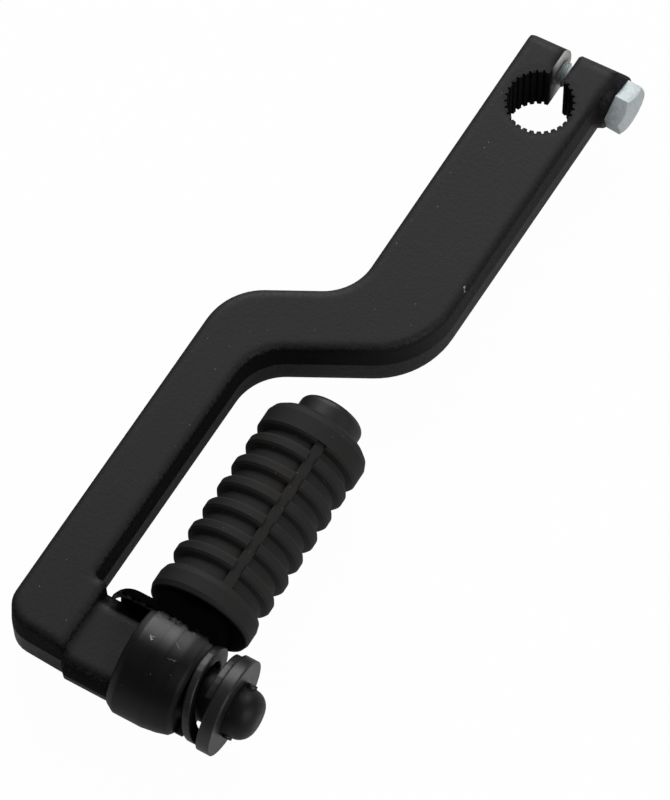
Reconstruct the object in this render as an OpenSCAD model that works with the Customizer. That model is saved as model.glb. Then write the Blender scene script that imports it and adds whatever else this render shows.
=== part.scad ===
// Kick start lever of a scooter: a cranked arm with a splined clamp hub and a folding, sprung pedal.
// Millimetres. Z is the axis of the splined bore and points to the outer face, X is the axis of the
// fold and points to its domed end, and the pedal is drawn folded up beside the arm, along +Y.

/* [Arm] */
// Distance from the bore axis to the fold axis, along Y
reach = 160; // [150:0.5:200]
// Thickness of the arm
arm_t = 16; // [14:0.5:20]
// Width of the arm below the hub
arm_w = 21.9; // [20.5:0.1:26]
// Offset of the arm's middle from the bore axis, towards the bolt head
arm_shift = 0.25; // [0:0.05:1]
// Width of the arm between its two bends
mid_w = 15.1; // [13:0.5:19]
// Width of the arm beside the pedal
low_w = 13.4; // [12:0.1:18]
// Sideways step from the upper to the lower length
jog = 24.4; // [21:0.2:28]
// Height of the upper bend below the bore axis
jog_drop = 62.2; // [56:0.5:70]
// Rise of the length between the bends
jog_angle = 31; // [20:1:38]
// Angle between the arm and a square to the fold axis
lean = 2.5; // [0:0.5:4]
// Draft of the forged sides, from the parting line to each face
draft = 2; // [0:0.5:4]
// Rounding of the long edges
edge_r = 0.8; // [0.4:0.1:0.9]

/* [Clamp hub] */
// Radius at the tips of the spline teeth
tip_r = 7.5; // [7:0.05:8]
// Depth of the spline teeth
tooth_depth = 0.6; // [0.3:0.05:0.8]
// Number of spline teeth in the full circle
teeth = 30; // [24:1:34]
// Width of the clamp slot
slot_w = 3.5; // [2:0.1:4]
// Offset of the slot from the bore axis
slot_x = -0.15; // [-0.5:0.05:0.5]
// Distance from the bore axis to the end of the hub
hub_top = 17.3; // [16.8:0.1:20]
// Radius of the crowned end of the hub
crown_r = 11.5; // [10:0.5:16]
// Lean of the crowned end across the hub
crown_lean = 5.5; // [0:0.5:8]
// Distance from the bore axis to the bolt axis
bolt_y = 12.5; // [12.5:0.1:13.2]
// How far the bolt ear stands out beyond the side of the arm
ear_out = 2; // [1:0.1:3]
// Radius of the ear's boss at the bolt head
boss_r = 6.7; // [5.8:0.1:7]

/* [Pinch bolt] */
// Diameter of the bolt
bolt_d = 6; // [5:0.5:6]
// Size of the bolt head across its flats
head_af = 10.8; // [8:0.5:11]
// Height of the bolt head
head_h = 4.1; // [3:0.1:6]
// Radial clearance of the bolt in the ears
bolt_clear = 0.05; // [0.02:0.01:0.2]

/* [Fold joint] */
// Diameter of the journal that the pedal turns on
journal_d = 12; // [10:0.5:13]
// Radial running clearance of the pedal on the journal
fit = 0.05; // [0.02:0.01:0.09]
// Radius of the neck between the arm and the journal
neck_r = 11.6; // [10.5:0.1:12]
// Height of the flat on the outer side of the neck above the fold axis
neck_flat = 6.2; // [5:0.1:7.5]
// Height of the flat on the pedal side of the neck
neck_side = 9; // [5:0.1:9]
// Bevel between the two flats
neck_bevel = 4; // [0.5:0.1:4]
// Bevel between the flat on the pedal side and the rear face
rear_bevel = 4.5; // [4.5:0.1:6]
// Length of the neck in the open
neck_l = 12.4; // [9:0.1:16]
// How far the journal's dome stands out beyond the washer
dome_out = 6.2; // [5.5:0.1:8]
// Rounding of the dome
dome_r = 3.8; // [1:0.1:4]

/* [Pedal] */
// Distance of the pedal's own axis from the bore axis, along X
pedal_x = -5.9; // [-7:0.1:-4]
// Length of the sleeve
sleeve_l = 16.2; // [14:0.1:20]
// Wall of the sleeve's skirt and of the tongue
skirt_wall = 1.3; // [1.2:0.1:2.5]
// Depth of the sleeve's skirt over the neck
skirt_depth = 5.6; // [3:0.1:8]
// Radial clearance between the skirt and the neck
skirt_clear = 0.3; // [0.3:0.05:0.6]
// Length of the tongue beyond the skirt
tongue_l = 9.1; // [7:0.1:9.6]
// Angle that the tongue spans
tongue_arc = 97; // [60:1:110]
// Thickness of the block that joins the sleeve and the rod
block_t = 20.8; // [16:0.2:22]
// Diameter of the rod in the grip
rod_d = 12; // [10:0.5:14]
// Diameter of the rod's head
rod_head_d = 15.8; // [14.2:0.1:18]
// Length of the rod's head beyond the grip
rod_head_l = 5.7; // [4:0.1:9]
// Clearance between the rod's head and the arm when the pedal is folded
rod_gap = 5.5; // [2:0.1:10]
// Lean of the rod towards the domed end
rod_lean = 1.6; // [0:0.1:2.5]

/* [Grip] */
// Distance from the fold axis to the lower end of the grip
grip_start = 14.4; // [13.8:0.1:18]
// Diameter over the ribs
rib_d = 25.2; // [23:0.1:27]
// Diameter in the grooves
groove_d = 22; // [19:0.1:22.4]
// Diameter over the end collars
collar_d = 25.6; // [23:0.1:28]
// Distance from rib to rib
rib_pitch = 6.1; // [5.5:0.05:6.3]
// Width of a rib
rib_w = 4.1; // [3:0.1:4.4]
// Width of the two bands that cross the grooves
band_w = 2.4; // [1.5:0.1:4]
// Turn of the bands about the grip, from the outer side towards the dome
band_turn = 20; // [0:5:90]

/* [Spring and washer] */
// Width of the flat wire along the axis
wire_w = 1.8; // [1.2:0.1:2.2]
// Depth of the flat wire across the axis
wire_d = 3.2; // [2:0.1:3.6]
// Length of the fitted spring
spring_l = 6.6; // [6:0.1:9]
// Outer radius of the spring
spring_r = 11; // [10.5:0.1:11.5]
// Thickness of the washer
washer_t = 3.1; // [1.5:0.1:3.5]
// Radius of the washer
washer_r = 11.7; // [10:0.1:12]
// Diameter of the pin that holds the washer
pin_d = 2.5; // [2:0.1:3]
// Length of the pin
pin_l = 13.2; // [12.6:0.1:15]
// Turn of the pin about the fold axis
pin_turn = 25; // [0:5:90]

/* [Hidden] */
$fn = 96;
eps = 0.02;
seat_gap = 0.05;
left_x = arm_shift - arm_w / 2;
right_x = arm_shift + arm_w / 2;
arm_z = arm_t / 2;
black = "#303032";
rubber = "#222224";
zinc = "#b4bec3";

// The outline of the arm, in the arm's own lean: corner places and radii.
hub_corner_r = 3.5;
small_r = 1.3;
pad_fillet = 0.6;
end_r = 6.5;
hub_flare = 0.45;
bend_out_r = [21, 15.5];
bend_in_r = [12.5, 13];
turn = 90 - jog_angle;
low_x0 = left_x - jog;
low_x1 = low_x0 + low_w;
left_low_y = -jog_drop - jog * tan(jog_angle);
mid_drop = mid_w / cos(jog_angle);
right_up_y = -jog_drop + arm_w * tan(jog_angle) - mid_drop;
right_low_y = -jog_drop + (low_x1 - left_x) * tan(jog_angle) - mid_drop;
foot_below = 10;
foot_above = 8.8;
arm_end = reach + foot_below;
pad_top = reach - foot_above;

left_top = hub_top + left_x * tan(crown_lean);
blank_top = hub_top + right_x * tan(crown_lean) + small_r;
rod_side = pedal_x - rod_head_d / 2;
rod_l = reach - jog_drop + (rod_side - left_x) * tan(jog_angle) - mid_drop - rod_gap;
grip_l = rod_l - rod_head_l - grip_start;

// Places along the fold axis.
sleeve_x0 = pedal_x - 7.7;
sleeve_x1 = sleeve_x0 + sleeve_l;
floor_x = sleeve_x0 + skirt_depth;
neck_x0 = sleeve_x0 - neck_l;
neck_x1 = floor_x - seat_gap * 4;
washer_x = sleeve_x1 + seat_gap + spring_l;
washer_face = washer_x + washer_t;
dome_x = washer_face + dome_out;
pin_x = washer_face + pin_d / 2 + seat_gap;
sleeve_r = neck_r + skirt_clear + skirt_wall;
skirt_in = neck_r + skirt_clear;

// The pad reaches far enough sideways to hold the neck's root over its whole height.
root_sink = 0.2323;
pad_out = pad_fillet + small_r + eps;
pad_x = max(low_x1 + pad_out, (neck_x0 + root_sink + (reach + neck_r) * sin(lean)) / cos(lean));

function arc(c, r, a0, a1, n) =
    [for (i = [0:n]) c + r * [cos(a0 + (a1 - a0) * i / n), sin(a0 + (a1 - a0) * i / n)]];

// The step that widens the arm into the pad at its lower end.
function pad_step(g) = concat(
    arc([low_x1 + pad_fillet, -pad_top + pad_fillet], pad_fillet + g, 180, 270, 3),
    arc([pad_x - small_r, -pad_top - small_r], small_r - g, 90, 0, 3));

// The two sides of the arm from the hub down, set in by g. Each bend, corner or step has as many
// points on one side as on the other.
function right_side(g) = concat(
    arc([right_x - small_r, blank_top - small_r], small_r - g, 90, 0, 8),
    arc([right_x - bend_out_r[0], right_up_y + bend_out_r[0] * tan(turn / 2)], bend_out_r[0] - g, 0, -turn, 12),
    arc([low_x1 + bend_in_r[1], right_low_y - bend_in_r[1] * tan(turn / 2)], bend_in_r[1] + g, 180 - turn, 180, 12),
    pad_step(g),
    arc([pad_x - small_r, -arm_end + small_r], small_r - g, 0, -90, 8));
function left_side(g) = concat(
    arc([left_x - hub_flare + hub_corner_r, left_top - hub_corner_r], hub_corner_r - g, 90, 180, 8),
    arc([left_x - bend_in_r[0], -jog_drop + bend_in_r[0] * tan(turn / 2)], bend_in_r[0] + g, 0, -turn, 12),
    arc([low_x0 + bend_out_r[1], left_low_y - bend_out_r[1] * tan(turn / 2)], bend_out_r[1] - g, 180 - turn, 180, 12),
    [for (i = [0:7]) [low_x0 + g, -pad_top - i * small_r / 7]],
    arc([low_x0 + end_r, -arm_end + end_r], end_r - g, 180, 270, 8));

// Heights of the arm's cross-sections, and how far each is set in from the parting line.
flat_z = arm_z - edge_r;
round_steps = [0, 30, 60, 90];
half_z = [for (a = round_steps) flat_z + edge_r * sin(a)];
levels = concat([for (i = [3:-1:0]) -half_z[i]], [0], half_z);
function set_in(z) = abs(z) * tan(draft)
    + (abs(z) <= flat_z ? 0 : edge_r - sqrt(max(0, edge_r ^ 2 - (abs(z) - flat_z) ^ 2)));

// A solid lofted through both sides at every level.
module arm_blank() {
    rows = [for (z = levels) concat(
        [for (p = right_side(set_in(z))) [p[0], p[1], z]],
        [for (p = left_side(set_in(z))) [p[0], p[1], z]])];
    n = len(rows[0]);
    m = n / 2;
    top = (len(levels) - 1) * n;
    rim = concat([for (i = [0:m - 1]) i], [for (i = [n - 1:-1:m]) i]);
    walls = [for (k = [0:len(levels) - 2], i = [0:n - 1]) let (a = rim[i], b = rim[(i + 1) % n])
        [k * n + b, (k + 1) * n + b, (k + 1) * n + a, k * n + a]];
    back = [for (i = [0:m - 2]) [m + i, m + i + 1, i + 1, i]];
    front = [for (i = [0:m - 2]) [top + i, top + i + 1, top + m + i + 1, top + m + i]];
    polyhedron([for (row = rows) each row], concat(walls, back, front), convexity = 6);
}

// Ear that carries the bolt head: the side of the hub goes over into a round boss about the bolt.
module ear() {
    face_x = right_x + ear_out;
    root_r = arm_z + 1.5;
    edge = 0.6;
    intersection() {
        translate([0, bolt_y, 0])
            rotate([0, 90, 0])
                rotate_extrude()
                    polygon([[0, right_x / 2], [root_r, right_x / 2], [root_r, right_x - 1.6],
                        [arm_z - 0.4, right_x - 0.2], [boss_r + 0.3, right_x + 0.8],
                        [boss_r, face_x - edge], [boss_r - edge / 3, face_x - edge / 3],
                        [boss_r - edge, face_x], [0, face_x]]);
        translate([0, -reach, -arm_z])
            cube([face_x + 1, reach * 2, arm_t]);
    }
}

// Keeps the arm below a crown that rounds the end of the hub from face to face and leans with it.
module crown_keep() {
    crown_y = hub_top - crown_r;
    far = reach * 2;
    rotate(crown_lean) {
        translate([-far, crown_y - far, -arm_t])
            cube([far * 2, far, arm_t * 2]);
        translate([-far, crown_y, 0])
            rotate([0, 90, 0])
                cylinder(r = crown_r, h = far * 2);
    }
}

// Bore with straight-sided spaces between round-tipped spline teeth.
module spline_cut() {
    pitch = 360 / teeth;
    space = tip_r * pitch * PI / 180 * 0.62;
    linear_extrude(arm_t + 2, center = true)
        union() {
            circle(r = tip_r);
            for (i = [0:teeth - 1])
                rotate(i * pitch + pitch / 2)
                    polygon([[tip_r - 0.5, -space / 2], [tip_r + tooth_depth, -space / 5],
                        [tip_r + tooth_depth, space / 5], [tip_r - 0.5, space / 2]]);
        }
}

// A cylinder laid along X between two places.
module x_cylinder(x0, x1, r) {
    translate([x0, 0, 0])
        rotate([0, 90, 0])
            cylinder(r = r, h = x1 - x0);
}

// Neck with two flats that leave room for the pedal's tongue, then the journal with its domed end.
module neck_and_journal() {
    root_x = neck_x0 + 0.1;
    root_bevel = 1.4;
    far = neck_r * 2;
    translate([0, -reach, 0]) {
        intersection() {
            union() {
                x_cylinder(root_x + root_bevel, neck_x1, neck_r);
                translate([root_x, 0, 0])
                    rotate([0, 90, 0])
                        cylinder(r1 = neck_r - root_bevel, r2 = neck_r, h = root_bevel + eps);
            }
            translate([root_x, -far, -arm_z])
                cube([far * 2, far + neck_side, arm_z + neck_flat]);
            translate([root_x, neck_side, neck_flat - neck_bevel])
                rotate([-45, 0, 0])
                    translate([0, -far, -far * 2])
                        cube([far * 2, far * 2, far * 2]);
            translate([root_x, neck_side, rear_bevel - arm_z])
                rotate([45, 0, 0])
                    translate([0, -far, 0])
                        cube([far * 2, far * 2, far * 2]);
        }
        x_cylinder(neck_x1 - 1, dome_x - dome_r, journal_d / 2);
        translate([dome_x - dome_r, 0, 0])
            rotate([0, 90, 0])
                rotate_extrude() {
                    square([journal_d / 2 - dome_r, dome_r]);
                    intersection() {
                        translate([journal_d / 2 - dome_r, 0])
                            circle(r = dome_r);
                        square(journal_d);
                    }
                }
    }
}

module pin_hole(r, l) {
    translate([pin_x, -reach, 0])
        rotate([pin_turn - 90, 0, 0])
            cylinder(r = r, h = l, center = true);
}

module arm() {
    color(black)
        difference() {
            union() {
                rotate(-lean)
                    intersection() {
                        union() {
                            arm_blank();
                            ear();
                        }
                        crown_keep();
                    }
                neck_and_journal();
            }
            rotate(-lean) {
                spline_cut();
                translate([slot_x - slot_w / 2, 0, -arm_t])
                    cube([slot_w, hub_top * 2, arm_t * 2]);
                translate([0, bolt_y, 0])
                    x_cylinder(left_x - 2, right_x + ear_out + 2, bolt_d / 2 + bolt_clear);
            }
            pin_hole(pin_d / 2 + seat_gap, journal_d * 2);
        }
}

module pinch_bolt() {
    seat = right_x + ear_out;
    head_r = head_af / 2 / cos(30);
    color(zinc)
        rotate(-lean)
            translate([0, bolt_y, 0]) {
                x_cylinder(left_x + 1, seat + 1, bolt_d / 2);
                intersection() {
                    translate([seat, 0, 0])
                        rotate([0, 90, 0])
                            rotate(12)
                                cylinder(r = head_r, h = head_h, $fn = 6);
                    translate([seat, 0, 0])
                        rotate([0, 90, 0])
                            cylinder(r1 = head_r + head_h * 1.6, r2 = head_af / 2 - 0.2, h = head_h);
                }
            }
}

// Outside of the sleeve, with a rounded rim at the skirt and a tapered end at the spring.
module sleeve_blank() {
    rim = 1.1;
    taper = spring_r - 0.1;
    rotate([0, 90, 0])
        rotate_extrude()
            polygon([[0, sleeve_x0], [sleeve_r - rim * 2, sleeve_x0], [sleeve_r - rim, sleeve_x0 + rim / 3],
                [sleeve_r, sleeve_x0 + rim * 2], [sleeve_r, sleeve_x1 - 7], [sleeve_r - 0.5, sleeve_x1 - 3.5],
                [sleeve_r - 1.2, sleeve_x1 - 1], [taper, sleeve_x1], [0, sleeve_x1]]);
}

// Tongue that reaches from the skirt over the neck, with its nose curled in.
module tongue() {
    nose = 4;
    curl = 0.65;
    tip = sleeve_x0 - tongue_l;
    inner = skirt_in + 0.1;
    rotate([0, 90, 0])
        rotate(90 - tongue_arc / 2)
            rotate_extrude(angle = tongue_arc)
                polygon(concat(
                    [[inner, sleeve_x0 + 1]],
                    [for (a = [0:15:75]) [inner - nose * (1 - cos(a)) * curl,
                        tip + nose - (nose - skirt_wall / 2) * sin(a)]],
                    [for (a = [90:-15:0]) [sleeve_r - nose * (1 - cos(a)) * curl, tip + nose - nose * sin(a)]],
                    [[sleeve_r, sleeve_x0 + 2]]));
}

// Block on the sleeve that the grip sits on, as long as the sleeve and rounded like the grip.
module block() {
    block_r = 11.4;
    intersection() {
        translate([pedal_x, 0, 0])
            rotate([-90, 0, -rod_lean])
                cylinder(r = block_r, h = grip_start - seat_gap);
        translate([sleeve_x0, 0, -block_t / 2])
            cube([sleeve_l, grip_start * 2, block_t]);
    }
}

// Rod under the grip, with the wider head that keeps the grip on.
module rod() {
    round = 1.8;
    translate([pedal_x, 0, 0])
        rotate([-90, 0, -rod_lean])
            rotate_extrude()
                polygon(concat([[0, 0], [rod_d / 2, 0], [rod_d / 2, rod_l - rod_head_l],
                    [rod_head_d / 2, rod_l - rod_head_l]],
                    arc([rod_head_d / 2 - round, rod_l - round], round, 0, 90, 6),
                    [[0, rod_l]]));
}

module pedal() {
    color(black)
        translate([0, -reach, 0]) {
            difference() {
                union() {
                    sleeve_blank();
                    block();
                    rod();
                }
                x_cylinder(sleeve_x0 - 1, sleeve_x1 + 1, journal_d / 2 + fit);
                x_cylinder(sleeve_x0 - 1, floor_x, skirt_in);
            }
            tongue();
        }
}

// Half of the grip's section: a long lower collar, ribs and grooves, and a short upper collar.
function rib_bump(y) = [[groove_d / 2, y - rib_w / 2], [rib_d / 2 - 0.4, y - rib_w * 0.35],
    [rib_d / 2, y - rib_w * 0.2], [rib_d / 2, y + rib_w * 0.2], [rib_d / 2 - 0.4, y + rib_w * 0.35],
    [groove_d / 2, y + rib_w / 2]];
module grip_section() {
    lower = 7.2;
    upper = 7.6;
    first = lower + rib_w / 2 + 2.1;
    ribs = 1 + floor((grip_l - upper - first - rib_w / 2) / rib_pitch);
    bore_r = rod_d / 2 + seat_gap;
    polygon(concat(
        [[bore_r, 0], [collar_d / 2 - 1.6, 0], [collar_d / 2 - 0.6, 0.4], [collar_d / 2 - 0.1, 1.6],
            [collar_d / 2 - 0.1, lower - 2.4], [collar_d / 2 - 0.5, lower - 1], [groove_d / 2, lower]],
        [for (i = [0:ribs - 1]) each rib_bump(first + i * rib_pitch)],
        [[groove_d / 2, grip_l - upper], [collar_d / 2 - 0.4, grip_l - upper + 0.6],
            [collar_d / 2, grip_l - upper + 1.2], [collar_d / 2, grip_l - 2.4],
            [collar_d / 2 - 0.6, grip_l - 1], [collar_d / 2 - 1.8, grip_l], [bore_r, grip_l]]));
}

module rubber_grip() {
    band_r = (rib_d + groove_d) / 4 + 0.2;
    band_y = 4;
    color(rubber)
        translate([pedal_x, -reach, 0])
            rotate([-90, 0, -rod_lean])
                translate([0, 0, grip_start])
                    difference() {
                        union() {
                            rotate_extrude()
                                grip_section();
                            for (s = [0, 180])
                                rotate(s - 90 + band_turn)
                                    intersection() {
                                        translate([groove_d / 2 - 1, -band_w / 2, band_y])
                                            cube([rib_d, band_w, grip_l - 2 * band_y]);
                                        cylinder(r = band_r, h = grip_l);
                                    }
                        }
                        for (s = [0, 180])
                            rotate(s - 90 + band_turn)
                                translate([0, -band_w / 2, band_y + 2.4])
                                    difference() {
                                        cube([rib_d, band_w, grip_l - 2 * band_y - 4.8]);
                                        translate([0, band_w / 2, -1])
                                            cylinder(r = band_r, h = grip_l);
                                    }
                    }
}

// Flat wire coil: a closed turn at the sleeve, a rise on the outer side, a closed turn at the washer.
module spring() {
    x0 = sleeve_x1 + seat_gap;
    rise = spring_l - wire_w;
    start = -150;
    rise_from = 80;
    rise_to = 240;
    stop = 472;
    step = 9.5;
    count = round((stop - start) / step);
    function ramp(t) = let (u = min(1, max(0, t))) u * u * (3 - 2 * u);
    function wire_x(a) = x0 + rise * ramp((a - rise_from) / (rise_to - rise_from));
    angles = [for (i = [0:count]) start + (stop - start) * i / count];
    sections = [for (a = angles) let (x = wire_x(a), r0 = spring_r - wire_d, r1 = spring_r)
        [[x, r0 * cos(a), r0 * sin(a)], [x, r1 * cos(a), r1 * sin(a)],
            [x + wire_w, r1 * cos(a), r1 * sin(a)], [x + wire_w, r0 * cos(a), r0 * sin(a)]]];
    sides = [for (k = [0:count - 1], i = [0:3])
        [k * 4 + i, k * 4 + (i + 1) % 4, (k + 1) * 4 + (i + 1) % 4, (k + 1) * 4 + i]];
    color(black)
        translate([0, -reach, 0])
            polyhedron([for (s = sections) each s],
                concat(sides, [[3, 2, 1, 0], [for (i = [0:3]) count * 4 + i]]), convexity = 6);
}

module washer() {
    color(black)
        translate([0, -reach, 0])
            difference() {
                x_cylinder(washer_x, washer_face, washer_r);
                x_cylinder(washer_x - 1, washer_face + 1, journal_d / 2 + seat_gap * 2);
            }
}

// Rolled spring pin, slit along its length.
module retaining_pin() {
    wall = 0.5;
    slit = 0.4;
    color(zinc)
        difference() {
            pin_hole(pin_d / 2, pin_l);
            pin_hole(pin_d / 2 - wall, pin_l + 1);
            translate([pin_x + pin_d / 4, -reach, 0])
                rotate([pin_turn - 90, 0, 0])
                    cube([pin_d / 2 + 0.2, slit, pin_l + 1], center = true);
        }
}

arm();
pinch_bolt();
pedal();
rubber_grip();
spring();
washer();
retaining_pin();
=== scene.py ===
import math

import bpy
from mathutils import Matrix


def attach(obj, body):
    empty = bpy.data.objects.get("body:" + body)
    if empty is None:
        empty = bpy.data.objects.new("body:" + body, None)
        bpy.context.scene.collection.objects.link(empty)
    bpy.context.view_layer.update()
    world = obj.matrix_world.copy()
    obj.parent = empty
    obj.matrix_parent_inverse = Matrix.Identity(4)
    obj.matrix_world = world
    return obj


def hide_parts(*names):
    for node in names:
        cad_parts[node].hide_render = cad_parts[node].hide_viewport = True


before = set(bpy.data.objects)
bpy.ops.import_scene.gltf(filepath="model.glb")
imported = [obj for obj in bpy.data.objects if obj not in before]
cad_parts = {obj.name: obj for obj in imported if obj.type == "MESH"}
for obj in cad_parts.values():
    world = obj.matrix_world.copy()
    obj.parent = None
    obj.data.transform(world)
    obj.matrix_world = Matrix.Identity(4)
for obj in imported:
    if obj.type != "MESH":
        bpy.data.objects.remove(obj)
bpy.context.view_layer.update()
bpy.ops.object.select_all(action="DESELECT")


# Stand and view. The lever lies on a white table and is seen from above its outer face, with the
# fold axis towards the viewer's lower right. A long lens keeps its edges nearly parallel.
# The table shows almost white to the lens and still takes the lever's soft shadow.
scene = bpy.context.scene
scene.view_settings.view_transform = "Standard"
TABLE_SIZE = 8
TABLE_Z = -0.01335


def colour(hex_text):
    """Linear colour of an sRGB hex value."""
    parts = [int(hex_text[i:i + 2], 16) / 255 for i in (1, 3, 5)]
    return tuple(c / 12.92 if c <= 0.04045 else ((c + 0.055) / 1.055) ** 2.4 for c in parts) + (1.0,)


def plug(tree, node, inputs):
    """Links each named socket to another socket, or sets it to a constant."""
    for socket, value in inputs.items():
        if isinstance(value, bpy.types.NodeSocket):
            tree.links.new(value, node.inputs[socket])
        else:
            node.inputs[socket].default_value = value


def add_node(tree, kind, inputs=None, **settings):
    """Adds a node, sets it up and plugs in what inputs names."""
    node = tree.nodes.new(kind)
    for name, value in settings.items():
        setattr(node, name, value)
    plug(tree, node, inputs or {})
    return node


def calc(tree, operation, *values, clamp=False):
    """Result of one sum on numbers or sockets."""
    node = add_node(tree, "ShaderNodeMath", dict(enumerate(values)), operation=operation, use_clamp=clamp)
    return node.outputs[0]


bpy.ops.object.camera_add(
    location=(0.364525, -0.730085, 1.625633),
    rotation=(math.radians(24.59993), math.radians(0.06244), math.radians(29.66361)),
)
camera = bpy.context.object
camera.name = "studio_camera"
camera.data.lens = 360
camera.data.sensor_width = 36
camera.data.clip_start = 0.05
camera.data.clip_end = 20
scene.camera = camera

bpy.ops.mesh.primitive_plane_add(size=TABLE_SIZE, location=(0, 0, TABLE_Z))
table = bpy.context.object
table.name = "table"

# White laminate: the eye gets a plain white ground with a faint shadow, and the lever mirrors a
# little of that white in its lower sides.
table_white = bpy.data.materials.new("white laminate table")
table_white.use_nodes = True
tree = table_white.node_tree
tree.nodes.clear()
path = add_node(tree, "ShaderNodeLightPath")
mirrored = calc(tree, "MULTIPLY", path.outputs["Is Glossy Ray"], 0.2)
seen = calc(tree, "MAXIMUM", path.outputs["Is Camera Ray"], mirrored)
seen = calc(tree, "MAXIMUM", seen, path.outputs["Is Transmission Ray"])
dull = add_node(tree, "ShaderNodeBsdfDiffuse", {"Color": colour("#d8d8d8")})
glow = add_node(tree, "ShaderNodeEmission", {"Color": (1, 1, 1, 1), "Strength": 1.0})
share = calc(tree, "MULTIPLY", seen, 0.98)
blend = add_node(tree, "ShaderNodeMixShader", {0: share, 1: dull.outputs[0], 2: glow.outputs[0]})
add_node(tree, "ShaderNodeOutputMaterial", {"Surface": blend.outputs[0]})
table.data.materials.append(table_white)

world = bpy.data.worlds.new("pale studio")
scene.world = world
world.use_nodes = True
tree = world.node_tree
tree.nodes.clear()
path = add_node(tree, "ShaderNodeLightPath")
room = add_node(tree, "ShaderNodeBackground", {"Color": colour("#f4f5f7"), "Strength": 0.2})
plain = add_node(tree, "ShaderNodeBackground", {"Color": (1, 1, 1, 1), "Strength": 1.0})
blend = add_node(tree, "ShaderNodeMixShader",
                 {0: path.outputs["Is Camera Ray"], 1: room.outputs[0], 2: plain.outputs[0]})
add_node(tree, "ShaderNodeOutputWorld", {"Surface": blend.outputs[0]})

for name, place, size, watts in (
    ("window_soft_box", (-0.5, 0.95, 0.85), 1.1, 19),
    ("side_soft_box", (0.95, -0.35, 0.75), 0.8, 7),
):
    bpy.ops.object.light_add(type="AREA", location=place)
    lamp = bpy.context.object
    lamp.name = name
    lamp.data.size = size
    lamp.data.energy = watts
    lamp.rotation_mode = "QUATERNION"
    lamp.rotation_quaternion = (-lamp.location).to_track_quat("-Z", "Y")


# Arm. One steel casting with the splined split hub, the crank, the neck and the journal. It is
# cast in two mould halves that part at its middle, machined at the bore and the journal, sawn
# through at the slot, and enamelled black before the sawing.
LEAN = math.radians(2.5)
BORE_R = 0.0083
HUB_EDGE_R = 0.0112
SLOT_HALF = 0.0018
SLOT_SHIFT = 0.00015
SLOT_BARE_Y = (0.0085, 0.0115)
JOG_Y = (-0.078, -0.062)
BAR_END_Y = -0.14
MARK_WOBBLE = 0.0016


def start_finish(name):
    """A new material with its shader and the piece's own coordinates."""
    made = bpy.data.materials.new(name)
    made.use_nodes = True
    nodes = made.node_tree.nodes
    coords = add_node(made.node_tree, "ShaderNodeTexCoord")
    return made, made.node_tree, nodes["Principled BSDF"], coords


def noise(tree, coords, cells_per_m, detail, roughness):
    """Soft random pattern with so many cells to the metre."""
    node = add_node(tree, "ShaderNodeTexNoise", {
        "Vector": coords, "Scale": cells_per_m, "Detail": detail, "Roughness": roughness})
    return node.outputs["Fac"]


def ramp(tree, value, start, end, at_start=0.0, at_end=1.0):
    """The value carried from one range to another and held at both ends."""
    node = add_node(tree, "ShaderNodeMapRange", {
        "Value": value, "From Min": start, "From Max": end, "To Min": at_start, "To Max": at_end})
    return node.outputs["Result"]


def paint(tree, mask, under, over):
    """One colour laid over another by a mask, each a socket or an sRGB hex value."""
    under, over = (colour(c) if isinstance(c, str) else c for c in (under, over))
    return add_node(tree, "ShaderNodeMixRGB", {0: mask, 1: under, 2: over}).outputs[0]


def split(tree, vector):
    """The three parts of a vector."""
    return add_node(tree, "ShaderNodeSeparateXYZ", {"Vector": vector}).outputs[:]


def vector_calc(tree, operation, inputs):
    """Result of one sum on vectors."""
    return add_node(tree, "ShaderNodeVectorMath", inputs, operation=operation).outputs[0]


def vector_length(tree, vector):
    """Length of a vector."""
    return add_node(tree, "ShaderNodeVectorMath", {0: vector}, operation="LENGTH").outputs["Value"]


def rounded_edges(tree, radius):
    """Surface normal as if every edge had that radius in metres."""
    return add_node(tree, "ShaderNodeBevel", {"Radius": radius}, samples=8).outputs[0]


def bumps(tree, height, strength, depth, normal=None):
    """Surface normal with fine relief of that depth in metres."""
    inputs = {"Strength": strength, "Distance": depth, "Height": height}
    if normal is not None:
        inputs["Normal"] = normal
    return add_node(tree, "ShaderNodeBump", inputs).outputs["Normal"]


def dust(tree, coords, cell_mm, speck_mm, share):
    """Mask of sparse round specks: each cell may hold one, and only that share of the cells does."""
    cells = add_node(tree, "ShaderNodeTexVoronoi", {"Vector": coords, "Scale": 1000 / cell_mm})
    pick = add_node(tree, "ShaderNodeSeparateColor", {"Color": cells.outputs["Color"]})
    near = calc(tree, "LESS_THAN", cells.outputs["Distance"], speck_mm / cell_mm)
    kept = calc(tree, "LESS_THAN", pick.outputs["Red"], share)
    return calc(tree, "MULTIPLY", calc(tree, "MULTIPLY", near, kept), pick.outputs["Green"])


def mark(tree, coords, centre_mm, half_mm, turn_deg=0):
    """Mask of one ragged mark, such as a chip or a scratch, of given half sizes at a fixed place."""
    wobble = add_node(tree, "ShaderNodeTexNoise", {
        "Vector": coords, "Scale": 1400, "Detail": 3, "Roughness": 0.7})
    shift = vector_calc(tree, "SUBTRACT", {0: wobble.outputs["Color"], 1: (0.5, 0.5, 0.5)})
    shift = vector_calc(tree, "SCALE", {0: shift, "Scale": MARK_WOBBLE})
    local = add_node(tree, "ShaderNodeMapping", {
        "Vector": vector_calc(tree, "ADD", {0: coords, 1: shift}),
        "Location": tuple(c / 1000 for c in centre_mm), "Rotation": (0, 0, math.radians(turn_deg)),
        "Scale": tuple(h / 1000 for h in half_mm)}, vector_type="TEXTURE")
    return calc(tree, "LESS_THAN", vector_length(tree, local.outputs[0]), 1.0)


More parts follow.
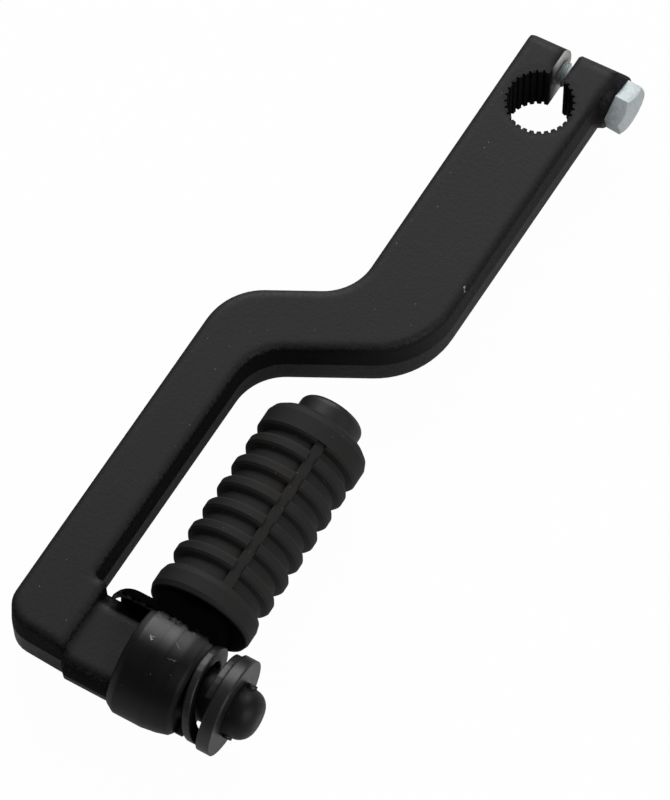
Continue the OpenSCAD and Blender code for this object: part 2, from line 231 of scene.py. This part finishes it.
# Satin black enamel: the eye gets a slightly purple black with a fine orange peel on the flats.
cast_black, tree, shader, coords = start_finish("satin black enamel on cast steel")
place = coords.outputs["Object"]
x, y, z = split(tree, place)
grain = noise(tree, place, 1100, 4, 0.65)
cloud = noise(tree, place, 70, 3, 0.5)
coarse = noise(tree, place, 1300, 4, 0.7)
skin = paint(tree, cloud, "#0f0e12", "#171619")
skin = paint(tree, ramp(tree, grain, 0.35, 0.7), skin, "#1b1a1c")

# The sides turn coarse and black along a grainy edge in the front half, and stay smooth and a
# little brown in the rear half. The black fades above the jog, and the journal has none.
soft_edge = rounded_edges(tree, 0.003)
flat = calc(tree, "ABSOLUTE", split(tree, soft_edge)[2])
speckle = calc(tree, "SUBTRACT", coarse, 0.5)
speckled = calc(tree, "MULTIPLY", speckle, ramp(tree, flat, 0.8, 1.0, 1.8, 0.0))
side = ramp(tree, calc(tree, "ADD", speckled, flat), 0.45, 0.9, 1.0, 0.0)
below_bar = calc(tree, "LESS_THAN", y, BAR_END_Y)
journal = calc(tree, "MULTIPLY", below_bar, calc(tree, "GREATER_THAN", x, 0.0))
side = calc(tree, "SUBTRACT", side, journal, clamp=True)
front_half = ramp(tree, calc(tree, "MULTIPLY_ADD", speckle, 0.0006, z), -0.0001, 0.0002)
below_jog = ramp(tree, y, *JOG_Y, 1.0, 0.4)
band = calc(tree, "MULTIPLY", calc(tree, "MULTIPLY", side, front_half), below_jog)
rear_half = calc(tree, "SUBTRACT", side, band)
skin = paint(tree, band, skin, "#040404")
skin = paint(tree, rear_half, skin, "#161412")
skin = paint(tree, journal, skin, "#0d0d0d")

# The saw left the slot's walls bare and bright; the bare colour fades into the enamel towards the bore.
sawn_place = add_node(tree, "ShaderNodeMapping", {"Vector": place, "Rotation": (0, 0, LEAN)})
slot_x, slot_y = split(tree, sawn_place.outputs[0])[:2]
off_middle = calc(tree, "ABSOLUTE", calc(tree, "ADD", slot_x, SLOT_SHIFT))
in_slot = calc(tree, "LESS_THAN", off_middle, SLOT_HALF)
sawn = calc(tree, "MULTIPLY", in_slot, ramp(tree, slot_y, *SLOT_BARE_Y))
skin = paint(tree, sawn, skin, "#d2d1cd")

# The broached teeth keep their sharp edges; painted shade makes the deep bore's walls a darker black.
sharp = coords.outputs["Normal"]
from_axis_sq = calc(tree, "MULTIPLY_ADD", y, y, calc(tree, "MULTIPLY", x, x))
near_bore = ramp(tree, from_axis_sq, BORE_R ** 2, HUB_EDGE_R ** 2, 1.0, 0.0)
normal = paint(tree, near_bore, soft_edge, sharp)
upright = calc(tree, "LESS_THAN", calc(tree, "ABSOLUTE", split(tree, sharp)[2]), 0.5)
bore = calc(tree, "MULTIPLY", calc(tree, "LESS_THAN", from_axis_sq, BORE_R ** 2), upright)
skin = paint(tree, bore, skin, "#0e0e0e")

# Dust lies on the flats, painted shade darkens the ear by the bolt's seat, and one chip is on the long
# edge.
skin = paint(tree, dust(tree, place, 1.8, 0.13, 0.25), skin, "#767473")
skin = paint(tree, mark(tree, place, (12.4, 10.2, 2.5), (2.0, 5.0, 5.5)), skin, "#050505")
skin = paint(tree, mark(tree, place, (8.1, -49.2, 7.4), (0.16, 0.9, 0.9), 25), skin, "#a09e9b")

shine = ramp(tree, grain, 0.3, 0.7, 0.42, 0.56)
shine = calc(tree, "MULTIPLY_ADD", band, 0.4, shine)
shine = calc(tree, "MULTIPLY_ADD", bore, 0.45, shine, clamp=True)
height = calc(tree, "MULTIPLY_ADD", calc(tree, "MULTIPLY", band, coarse), 3.0, grain)
plug(tree, shader, {
    "Base Color": skin, "Roughness": shine, "Specular IOR Level": ramp(tree, side, 0.0, 1.0, 0.23, 0.1),
    "Normal": bumps(tree, height, 0.4, 0.0001, normal)})
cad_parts["arm"].material_slots[0].material = cast_black


# Pinch bolt. A zinc plated hexagon bolt, cold headed with a turned chamfer on the head, and with a
# rolled thread that shows bright in the slot between the two ears.
BOLT_Y = 0.0125
SEAT_X = 0.0132
HEAD_AF = 0.0108
HEAD_H = 0.0041
HEAD_TURN_DEG = 18
CHAMFER_SLOPE = 1.75
CHAMFER_INSET = 0.0002
EDGE_ROUND = 0.00015
PITCH = 0.001
THREAD_TURNS = 22
THREAD_ROOT_R = 0.0024
THREAD_END = 0.0228

bpy.ops.mesh.primitive_cylinder_add(vertices=6, radius=HEAD_AF / 2 / math.cos(math.pi / 6), depth=HEAD_H)
bolt = bpy.context.object
bolt.name = "hexagon_bolt"
bpy.ops.object.mode_set(mode="EDIT")
bpy.ops.mesh.select_all(action="SELECT")
bpy.ops.transform.translate(value=(0, 0, HEAD_H / 2))
bpy.ops.object.mode_set(mode="OBJECT")
bpy.ops.mesh.primitive_cone_add(
    vertices=96, radius1=HEAD_AF / 2 + HEAD_H * CHAMFER_SLOPE, radius2=HEAD_AF / 2 - CHAMFER_INSET,
    depth=HEAD_H, location=(0, 0, HEAD_H / 2))
turning = bpy.context.object
chamfer = bolt.modifiers.new("chamfer", "BOOLEAN")
chamfer.operation = "INTERSECT"
chamfer.object = turning
bpy.context.view_layer.objects.active = bolt
bpy.ops.object.modifier_apply(modifier="chamfer")
bpy.data.objects.remove(turning)
soften = bolt.modifiers.new("soften", "BEVEL")
soften.width = EDGE_ROUND
soften.segments = 2
soften.limit_method = "ANGLE"
bpy.ops.object.modifier_apply(modifier="soften")
bpy.ops.object.select_all(action="DESELECT")

# The thread's profile is drawn for one pitch from a single point, and then wound into a screw.
bpy.ops.mesh.primitive_plane_add(size=PITCH, location=(0, 0, 0))
thread = bpy.context.object
thread.name = "bolt_thread"
bpy.ops.object.mode_set(mode="EDIT")
bpy.ops.mesh.select_all(action="SELECT")
bpy.ops.mesh.merge(type="CENTER")
bpy.ops.transform.translate(value=(THREAD_ROOT_R, 0, 0))
for step in ((0, 0, 0.12), (0.58, 0, 0.32), (0, 0, 0.12), (-0.58, 0, 0.32), (0, 0, 0.12)):
    bpy.ops.mesh.extrude_vertices_move(TRANSFORM_OT_translate={"value": tuple(v * PITCH for v in step)})
bpy.ops.object.mode_set(mode="OBJECT")
turns = thread.modifiers.new("turns", "SCREW")
turns.axis = "Z"
turns.screw_offset = PITCH
turns.iterations = THREAD_TURNS
turns.steps = 40
turns.render_steps = 40
turns.use_merge_vertices = True
bpy.ops.object.modifier_apply(modifier="turns")
bpy.ops.object.mode_set(mode="EDIT")
bpy.ops.mesh.select_all(action="SELECT")
bpy.ops.mesh.remove_doubles(threshold=0.000002)
bpy.ops.mesh.normals_make_consistent(inside=False)
bpy.ops.transform.translate(value=(0, 0, -THREAD_END))
bpy.ops.object.mode_set(mode="OBJECT")

# Head and thread are one bolt, turned to the photographed facets and pushed in along the seat.
bolt.select_set(True)
bpy.context.view_layer.objects.active = bolt
bpy.ops.object.join()
bpy.ops.object.mode_set(mode="EDIT")
bpy.ops.mesh.select_all(action="SELECT")
bpy.ops.transform.rotate(value=math.radians(HEAD_TURN_DEG), orient_axis="Z", center_override=(0, 0, 0))
bpy.ops.object.mode_set(mode="OBJECT")
bolt.rotation_euler = (0, math.pi / 2, 0)
bpy.ops.object.transform_apply(location=False, rotation=True, scale=False)
bolt.location = (SEAT_X, BOLT_Y, 0)
bpy.ops.object.transform_apply(location=True, rotation=False, scale=False)
bolt.rotation_euler = (0, 0, -LEAN)
bpy.ops.object.transform_apply(location=False, rotation=True, scale=False)
bpy.ops.object.shade_smooth_by_angle(angle=math.radians(30))

# Blue zinc: the eye gets a pale, faintly blue metal with a cloudy, handled shine.
zinc, tree, shader, coords = start_finish("blue zinc plating on steel")
haze = noise(tree, coords.outputs["Object"], 900, 4, 0.7)
plug(tree, shader, {
    "Base Color": paint(tree, haze, "#879397", "#dde3e4"), "Metallic": 0.3,
    "Roughness": ramp(tree, haze, 0.0, 1.0, 0.5, 0.66)})
bolt.data.materials.clear()
bolt.data.materials.append(zinc)
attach(bolt, "lever")
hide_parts("pinch_bolt")
bpy.ops.object.select_all(action="DESELECT")


# Pedal. One steel casting of sleeve, tongue, rod and rod head, dipped in smooth black enamel. It
# turns on the journal with its skirt over the neck, and carries the grip on its rod.
FOLD_Y = -0.16
SLEEVE_REACH = 0.03
SLEEVE_R = 0.01325
STEP_LINES_X = (-0.0068, -0.0038)
STEP_LINE_HALF = 0.00016

# Smooth black enamel: deep black, greyer and glossier as a painted highlight on the sleeve towards the
# rod.
smooth_black, tree, shader, coords = start_finish("smooth black enamel on cast steel")
place = coords.outputs["Object"]
x, y, z = split(tree, place)
cloud = noise(tree, place, 110, 4, 0.6)
peel = noise(tree, place, 700, 3, 0.55)
stretch = add_node(tree, "ShaderNodeMapping", {
    "Vector": place, "Rotation": (0.3, 0.2, 0.7), "Scale": (1, 9, 1)})
lines = noise(tree, stretch.outputs[0], 170, 5, 0.7)
skin = paint(tree, cloud, "#060607", "#0d0d0e")
skin = paint(tree, ramp(tree, lines, 0.69, 0.74), skin, "#5c5b5a")

along = calc(tree, "ADD", y, -FOLD_Y)
near_sleeve = calc(tree, "LESS_THAN", along, SLEEVE_REACH)
# Painted highlight: the sleeve's side towards the rod turns grey and glossier, and the rod a little less.
sleeve_highlight_paint = ramp(tree, along, -0.001, 0.006, 0.0, ramp(tree, near_sleeve, 0.0, 1.0, 0.4, 1.0))
skin = paint(tree, sleeve_highlight_paint, skin, "#343435")

# Painted shadow and reflection of the collar blacken the block and the grip's root, ragged on the sleeve.
across = add_node(tree, "ShaderNodeCombineXYZ", {"Y": along, "Z": z})
off_sleeve = ramp(tree, vector_length(tree, across.outputs[0]), SLEEVE_R, SLEEVE_R + 0.00035)
ragged = ramp(tree, calc(tree, "MULTIPLY_ADD", peel, 0.004, along), 0.0088, 0.0105)
collar_shadow_paint = calc(tree, "MULTIPLY", calc(tree, "MAXIMUM", off_sleeve, ragged), near_sleeve)

# The sleeve's spring end gets painted shade, and two fine turned steps run round it as black lines.
spring_end_shade = calc(tree, "MULTIPLY", ramp(tree, x, -0.0022, -0.0002, 0.0, 0.8), near_sleeve)
skin = paint(tree, spring_end_shade, skin, "#030303")
step_line = calc(tree, "MULTIPLY", lines, near_sleeve)
for line_x in STEP_LINES_X:
    beside = calc(tree, "COMPARE", x, line_x, STEP_LINE_HALF)
    skin = paint(tree, calc(tree, "MULTIPLY", beside, step_line), skin, "#000000")

# A flake is off near the tongue, and three scratches cross the top of the sleeve.
for centre, half, turn_deg, tone in (
    ((-9.0, -158.9, 12.9), (0.2, 0.8, 0.8), 40, "#94928f"),
    ((-9.0, -158.7, 12.9), (0.7, 0.13, 0.8), 15, "#7c7a78"),
    ((-3.0, -157.6, 12.7), (0.1, 1.1, 0.9), 55, "#63615f"),
    ((-2.6, -161.3, 12.9), (1.2, 0.1, 0.8), 10, "#575553"),
    ((2.0, -163.8, 12.3), (0.12, 0.8, 0.8), 35, "#63615f"),
):
    skin = paint(tree, mark(tree, place, centre, half, turn_deg), skin, tone)
skin = paint(tree, dust(tree, place, 1.8, 0.1, 0.4), skin, "#8c8a88")
skin = paint(tree, collar_shadow_paint, skin, "#020202")

shine = calc(tree, "MULTIPLY_ADD", collar_shadow_paint, 0.5, ramp(tree, cloud, 0.3, 0.7, 0.4, 0.52), clamp=True)
highlight_gloss_level = ramp(tree, sleeve_highlight_paint, 0.0, 1.0, 0.18, 0.42)
plug(tree, shader, {
    "Base Color": skin, "Roughness": shine, "Specular IOR Level": ramp(tree, collar_shadow_paint, 0.0, 1.0, highlight_gloss_level, 0.02),
    "Normal": bumps(tree, peel, 0.3, 0.00006, rounded_edges(tree, 0.001))})
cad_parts["pedal"].material_slots[0].material = smooth_black


# Grip. A black natural rubber sleeve, moulded with ribs, collars and two flat bands, and pushed
# over the rod's head, which keeps it on.
GRIP_START_Y = -0.1454

# Moulded rubber: the eye gets a dull black, faintly brown with age, with a light dust on it.
rubber, tree, shader, coords = start_finish("moulded black rubber")
place = coords.outputs["Object"]
y = split(tree, place)[1]
cloud = noise(tree, place, 60, 4, 0.6)
grain = noise(tree, place, 1500, 3, 0.6)
# Painted shade: the grip's end face at the rod's root is near black and nearly without shine.
under = ramp(tree, y, GRIP_START_Y, GRIP_START_Y + 0.0006, 1.0, 0.0)
skin = paint(tree, cloud, "#131313", "#201d1b")
skin = paint(tree, dust(tree, place, 1.3, 0.1, 0.4), skin, "#7d7b79")
skin = paint(tree, under, skin, "#020202")
plug(tree, shader, {
    "Base Color": skin, "Roughness": 0.72, "Specular IOR Level": ramp(tree, under, 0.0, 1.0, 0.3, 0.02),
    "Normal": bumps(tree, grain, 0.25, 0.00005)})
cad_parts["rubber_grip"].material_slots[0].material = rubber


# Spring, washer and roll pin, all of blacked steel. The flat wire coil sits on the journal between
# the sleeve and the pressed washer, and the rolled pin is driven through the journal behind them.

# Blacked steel: the eye gets a dark grey with an oily shine and a few specks of dust.
blacked, tree, shader, coords = start_finish("blacked and oiled spring steel")
place = coords.outputs["Object"]
cloud = noise(tree, place, 260, 4, 0.6)
skin = paint(tree, cloud, "#0e0e0f", "#1b1b1c")
skin = paint(tree, dust(tree, place, 2.0, 0.1, 0.3), skin, "#8c8a88")
plug(tree, shader, {
    "Base Color": skin, "Roughness": ramp(tree, cloud, 0.0, 1.0, 0.3, 0.48), "Specular IOR Level": 0.42,
    "Normal": bumps(tree, cloud, 0.2, 0.00005, rounded_edges(tree, 0.0009))})
for name in ("spring", "washer", "retaining_pin"):
    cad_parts[name].material_slots[0].material = blacked
